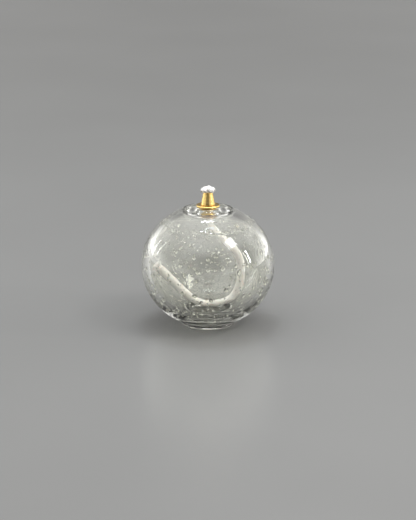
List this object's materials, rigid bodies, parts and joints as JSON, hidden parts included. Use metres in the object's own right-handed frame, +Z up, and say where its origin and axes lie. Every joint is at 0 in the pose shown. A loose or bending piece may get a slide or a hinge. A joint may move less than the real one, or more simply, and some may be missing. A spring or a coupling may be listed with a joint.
{
  "type": "oil lamp",
  "caption": "Hand-blown seeded glass globe oil lamp with a thick glass lip, a low glass foot, a lift-out brass cone burner and a round braided wick that trails inside.",
  "frame": {"origin": "centre of the foot's underside, on the table", "axes": "+Z up along the lamp's axis; the wick's tail hangs towards +X and its cut end lies at -X; -Y is the front"},
  "size_m": [0.11, 0.11, 0.1163],
  "materials": {
    "seeded_glass": "clear blown glass full of fine seed bubbles",
    "clear_glass": "clear fire-polished glass",
    "brass": "turned and lightly polished",
    "wick": "braided fibre, matt and slightly fuzzy"
  },
  "bodies": {
    "globe": {"globe": "seeded_glass", "neck_lip": "clear_glass", "foot": "clear_glass", "tail_jacket": "wick", "tail_core": "wick", "tail_fray": "wick"},
    "burner": {"burner_flange": "brass", "burner_cone": "brass", "burner_collar": "brass", "wick_tube": "brass"},
    "wick": {"wick_jacket": "wick", "wick_core": "wick", "wick_tuft": "wick"}
  },
  "joints": [
    {"name": "burner_lift", "type": "slide", "parent": "globe", "child": "burner", "axis": [0, 0, 1], "range_m": [0, 0.01]},
    {"name": "wick_advance", "type": "slide", "parent": "burner", "child": "wick", "axis": [0, 0, 1], "range_m": [0, 0.006]}
  ]
}
